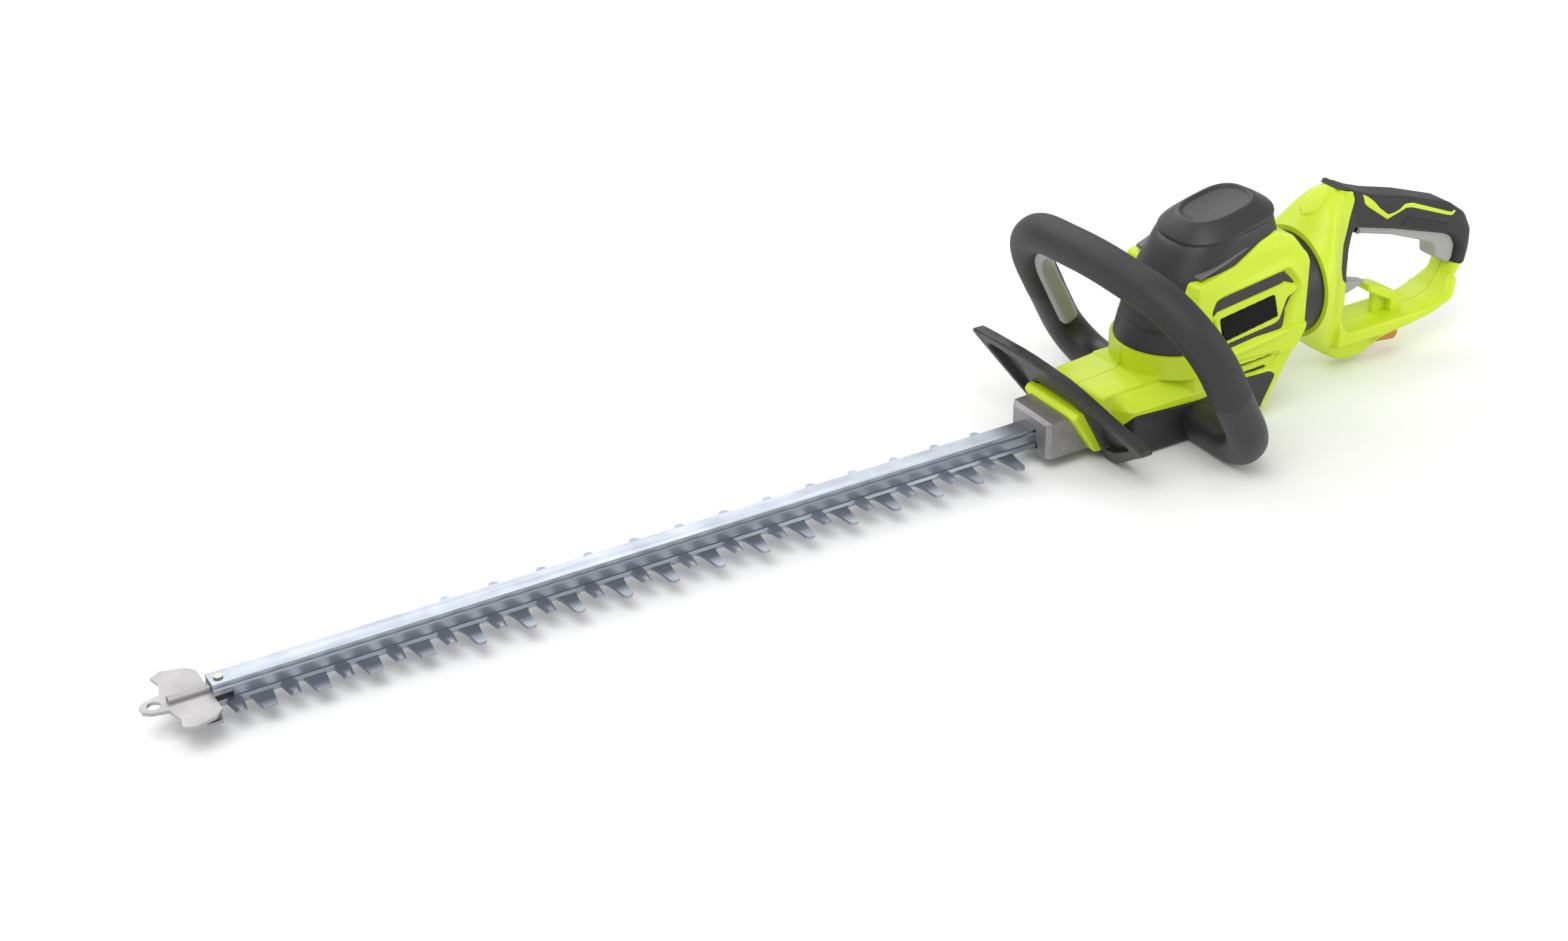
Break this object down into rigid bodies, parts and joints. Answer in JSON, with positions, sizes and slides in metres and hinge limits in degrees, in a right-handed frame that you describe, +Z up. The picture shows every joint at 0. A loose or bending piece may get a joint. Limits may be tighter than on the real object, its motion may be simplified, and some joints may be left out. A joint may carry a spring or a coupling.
{
  "type": "hedge trimmer",
  "caption": "Corded hedge trimmer with a long two-sided reciprocating blade, loop front handle with switch bail, hand guard and a swivelling D-shaped rear handle.",
  "frame": {"origin": "bottom centre of the whole object's bounding box", "axes": "+X from the blade's tip to the rear handle, +Z up as it lies on its belly, Y across"},
  "size_m": [1.042, 0.2424, 0.1652],
  "materials": {
    "blade_steel": "satin ground",
    "rail_aluminium": "satin anodised",
    "cast_aluminium": "sand cast, matt",
    "stamped_steel": "fine blasted",
    "lime_plastic": "satin, fine texture",
    "black_plastic": "satin, fine texture",
    "grip_rubber": "soft matt",
    "grey_plastic": "satin",
    "badge_black": "gloss",
    "bolt_steel": "zinc plated",
    "gear_steel": "greased",
    "bronze": "sintered",
    "lamination_steel": "varnished",
    "copper": "enamelled wire",
    "carbon": "matt",
    "orange_rubber": "soft satin",
    "switch_black": "matt",
    "capacitor_grey": "gloss"
  },
  "bodies": {
    "body": {"blade_rail": "rail_aluminium", "blade_bolts": "bolt_steel", "blade_sleeves": "bolt_steel", "tip_guard": "stamped_steel", "tip_rivet": "bolt_steel", "gear_axle": "gear_steel", "stator_core": "lamination_steel", "field_coils": "copper", "lower_bearing": "gear_steel", "upper_bearing": "gear_steel", "motor_bracket": "black_plastic", "carbon_brushes": "carbon", "gear_case": "cast_aluminium", "gear_cover": "cast_aluminium", "cover_screws": "bolt_steel", "housing_left": "lime_plastic", "housing_right": "lime_plastic", "lower_housing": "black_plastic", "motor_shroud": "black_plastic", "motor_cap": "black_plastic", "collar_ring": "black_plastic", "side_badges": "badge_black", "hand_guard": "black_plastic", "loop_front_shell": "black_plastic", "loop_rear_shell": "black_plastic", "front_switch": "switch_black", "capacitor": "capacitor_grey"},
    "upper_blade": {"upper_blade": "blade_steel"},
    "lower_blade": {"lower_blade": "blade_steel"},
    "drive_gear": {"drive_gear": "gear_steel", "gear_bushing": "bronze"},
    "rotor": {"motor_shaft": "gear_steel", "rotor_core": "lamination_steel", "commutator": "copper", "cooling_fan": "grey_plastic"},
    "rear_handle": {"handle_left": "lime_plastic", "handle_right": "lime_plastic", "cord_hook": "lime_plastic", "rear_grip": "grip_rubber", "lever_pin": "gear_steel", "cord_sleeve": "orange_rubber", "cord_clamp": "switch_black", "rear_switch": "switch_black"},
    "rear_lever": {"rear_lever": "grey_plastic"},
    "lock_trigger": {"lock_trigger": "grey_plastic"},
    "front_switch_bail": {"front_switch_bail": "grey_plastic"}
  },
  "joints": [
    {"name": "upper_blade_slide", "type": "slide", "parent": "body", "child": "upper_blade", "axis": [1, 0, 0], "range_m": [-0.0085, 0.0085]},
    {"name": "lower_blade_slide", "type": "slide", "parent": "body", "child": "lower_blade", "axis": [1, 0, 0], "range_m": [-0.0085, 0.0085]},
    {"name": "motor_spin", "type": "hinge", "parent": "body", "child": "rotor", "pos_m": [0.266, 0, 0.077], "axis": [0, 0, 1], "continuous": true},
    {"name": "crank_gear_spin", "type": "hinge", "parent": "body", "child": "drive_gear", "pos_m": [0.2285, 0, 0.024], "axis": [0, 0, 1], "continuous": true},
    {"name": "rear_handle_swivel", "type": "hinge", "parent": "body", "child": "rear_handle", "pos_m": [0.3522, 0, 0.0802], "axis": [1, 0, 0], "range_deg": [-90, 90]},
    {"name": "rear_lever_press", "type": "hinge", "parent": "rear_handle", "child": "rear_lever", "pos_m": [0.403, 0, 0.1125], "axis": [0, -1, 0], "range_deg": [0, 3], "stiffness_Nm_per_rad": 8, "springref_deg": -1.72},
    {"name": "lock_trigger_pull", "type": "slide", "parent": "rear_handle", "child": "lock_trigger", "axis": [1, 0, 0], "range_m": [0, 0.005], "stiffness_N_per_m": 600, "springref_m": -0.002},
    {"name": "front_bail_press", "type": "slide", "parent": "body", "child": "front_switch_bail", "axis": [-0.459, 0, 0.8884], "range_m": [0, 0.004], "stiffness_N_per_m": 1500, "springref_m": -0.002}
  ],
  "couplings": [
    {"joint": "lower_blade_slide", "follows": "upper_blade_slide", "ratio": -1},
    {"joint": "crank_gear_spin", "follows": "motor_spin", "ratio": -0.25}
  ]
}
